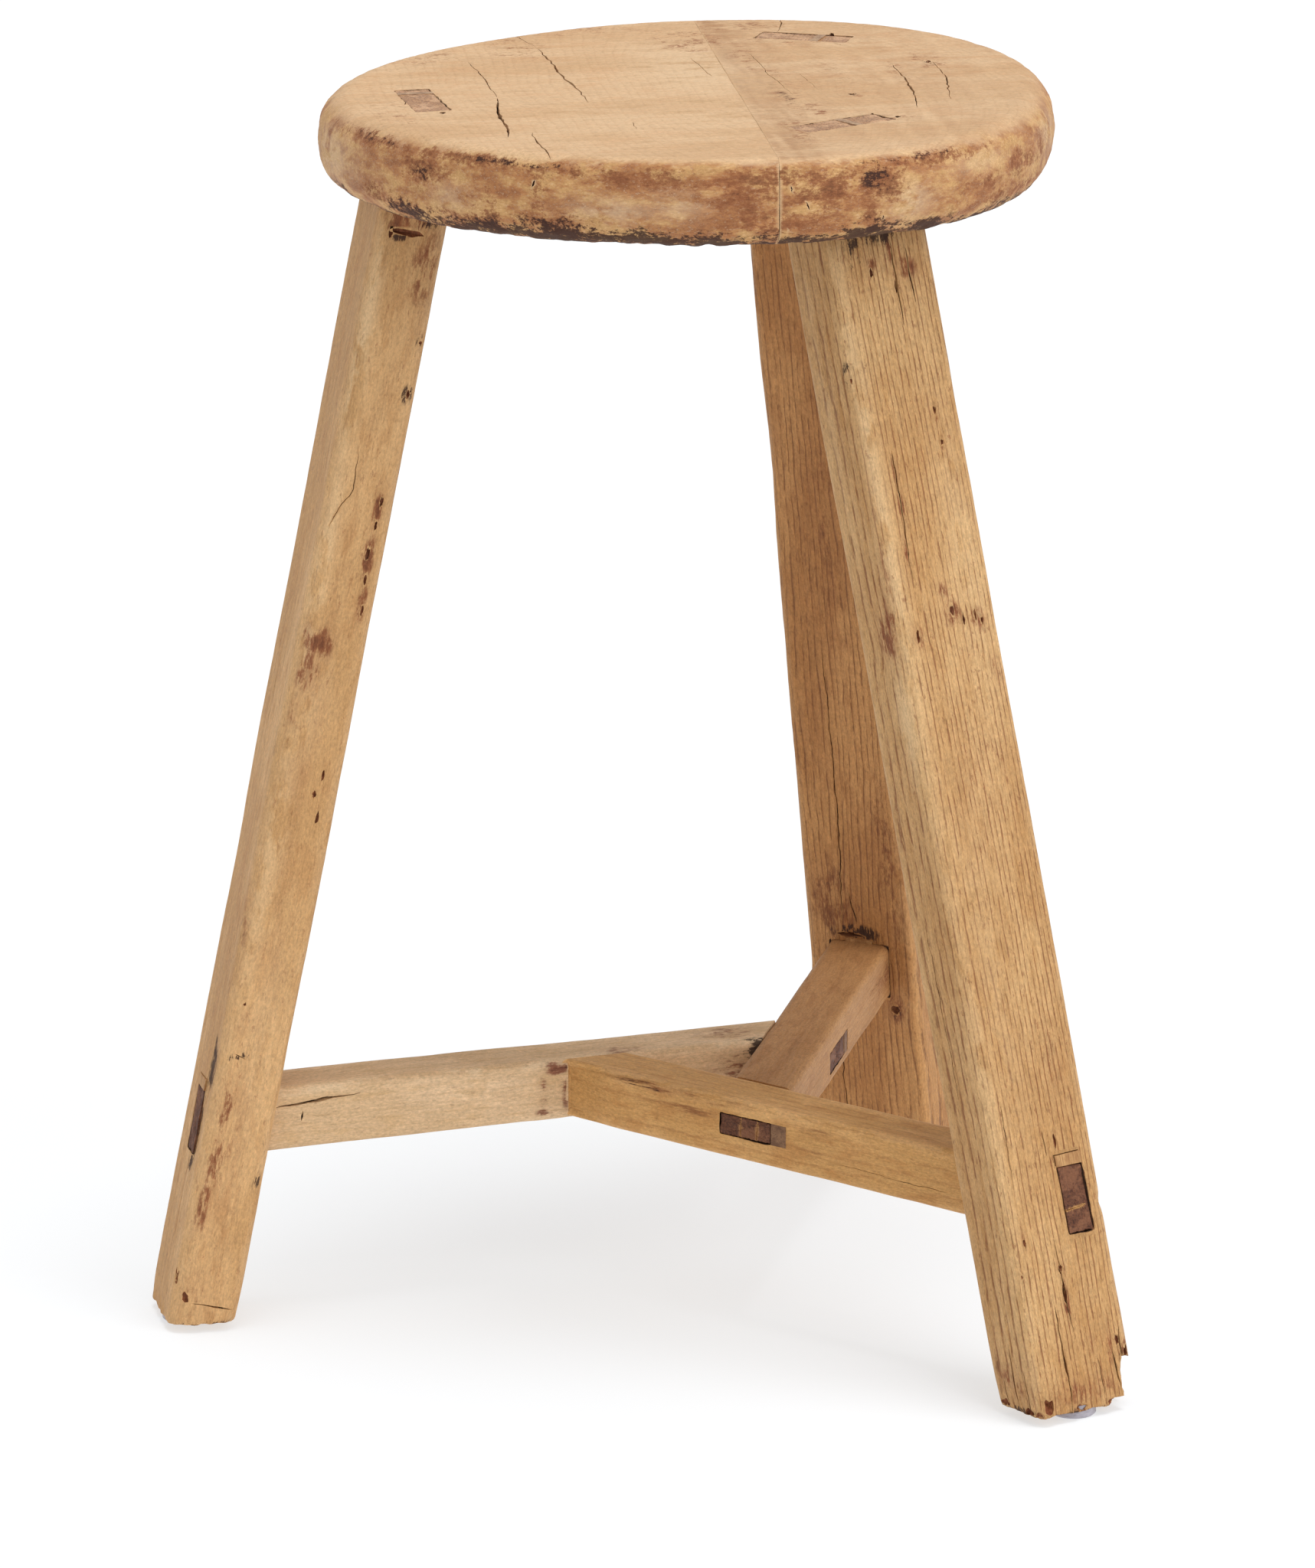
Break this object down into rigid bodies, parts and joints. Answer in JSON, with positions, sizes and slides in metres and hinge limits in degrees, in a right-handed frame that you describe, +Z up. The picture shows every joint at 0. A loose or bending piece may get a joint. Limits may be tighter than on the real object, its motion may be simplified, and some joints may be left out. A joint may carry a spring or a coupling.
{
  "type": "milking stool",
  "caption": "Rustic wooden stool: thick rounded seat of joined boards on splayed wedged legs, tied near the floor by a pinwheel of interlocking stretchers.",
  "frame": {"origin": "bottom centre of the whole stool's bounding box, on the floor plane under the glides", "axes": "+Z up from the floor to the seat, along the longest side; -X towards the left leg, -Y towards the front leg's side, +Y towards the back leg's side"},
  "size_m": [0.3822, 0.4292, 0.518],
  "materials": {
    "seat_wood": "worn pale elm, waxed thinly",
    "leg_wood": "weathered, raised grain",
    "stretcher_wood": "worn smooth",
    "wedge_wood": "dark end grain",
    "pin_wood": "plain",
    "glide_plastic": "smooth grey",
    "nail_steel": "plain steel"
  },
  "bodies": {
    "root": {"seat_board_left": "seat_wood", "seat_board_right": "seat_wood", "seat_pins": "pin_wood", "leg_left": "leg_wood", "leg_front": "leg_wood", "leg_back": "leg_wood", "seat_wedge_left": "wedge_wood", "seat_wedge_front": "wedge_wood", "seat_wedge_back": "wedge_wood", "leg_wedge_left": "wedge_wood", "leg_wedge_front": "wedge_wood", "leg_wedge_back": "wedge_wood", "stretcher_left": "stretcher_wood", "stretcher_front": "stretcher_wood", "stretcher_back": "stretcher_wood", "cross_wedge_left": "wedge_wood", "cross_wedge_front": "wedge_wood", "cross_wedge_back": "wedge_wood", "glide_left": "glide_plastic", "glide_front": "glide_plastic", "glide_back": "glide_plastic", "glide_nail_left": "nail_steel", "glide_nail_front": "nail_steel", "glide_nail_back": "nail_steel"}
  },
  "joints": []
}
